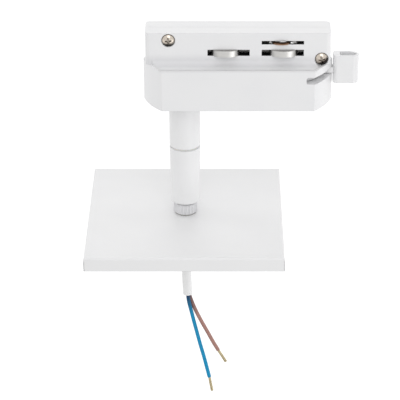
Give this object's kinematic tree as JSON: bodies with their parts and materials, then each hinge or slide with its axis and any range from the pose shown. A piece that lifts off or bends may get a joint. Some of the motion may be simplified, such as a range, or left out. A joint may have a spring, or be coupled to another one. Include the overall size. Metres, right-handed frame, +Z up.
{
  "type": "track light mount",
  "caption": "Lighting track adapter with a swinging lock lever, contact springs, a turning round stem and a square folded plate that carries a lamp and its lead.",
  "frame": {"origin": "on the stem's axis, at the top face of the insert that enters the track", "axes": "+X along the track towards the lock lever, +Y to the back, +Z up into the track"},
  "size_m": [0.1478, 0.108, 0.23],
  "materials": {
    "white_plastic": "moulded, satin",
    "slide_plastic": "moulded, matt",
    "plated_screw": "nickel plated",
    "spring_steel": "nickel plated strip",
    "copper": "bare copper",
    "plated_steel": "zinc plated",
    "white_paint": "powder coated, satin",
    "washer_plastic": "turned nylon",
    "bush_plastic": "soft plastic",
    "cable_sheath": "soft white sheath",
    "blue_insulation": "soft sleeve",
    "brown_insulation": "soft sleeve"
  },
  "bodies": {
    "adapter": {"housing": "white_plastic", "insert_front": "white_plastic", "insert_back": "white_plastic", "shell_screws": "plated_screw", "contact_front": "copper", "contact_back": "copper", "side_spring_front_left": "spring_steel", "side_spring_front_right": "spring_steel", "side_spring_back_left": "spring_steel", "side_spring_back_right": "spring_steel", "lever_pivot": "plated_steel", "upper_tube": "white_paint", "tube_nipple": "plated_steel", "tube_nut": "plated_steel", "stem_cable": "cable_sheath", "line_core_inner": "brown_insulation", "neutral_core_inner": "blue_insulation"},
    "lever": {"lock_lever": "white_plastic"},
    "slide": {"lock_slide": "slide_plastic"},
    "stem_foot": {"swivel_spindle": "plated_steel", "swivel_washer": "washer_plastic", "lower_sleeve": "white_paint", "plate_nipple": "plated_steel", "lock_nut": "white_paint", "lock_washer": "white_paint", "plate": "white_paint", "plate_washer": "plated_steel", "plate_nut": "plated_steel", "cable_bush": "bush_plastic", "cable": "cable_sheath", "blue_core": "blue_insulation", "brown_core": "brown_insulation", "blue_strands": "copper", "brown_strands": "copper"}
  },
  "joints": [
    {"name": "lever_swing", "type": "hinge", "parent": "adapter", "child": "lever", "pos_m": [0.0595, 0, -0.024], "axis": [0, 0, 1], "range_deg": [-60, 0]},
    {"name": "slide_travel", "type": "slide", "parent": "adapter", "child": "slide", "axis": [1, 0, 0], "range_m": [0, 0.005]},
    {"name": "stem_turn", "type": "hinge", "parent": "adapter", "child": "stem_foot", "pos_m": [0, 0, -0.0695], "axis": [0, 0, 1], "range_deg": [-175, 175]}
  ],
  "couplings": [
    {"joint": "slide_travel", "follows": "lever_swing", "m_per_rad": -0.0047746}
  ]
}
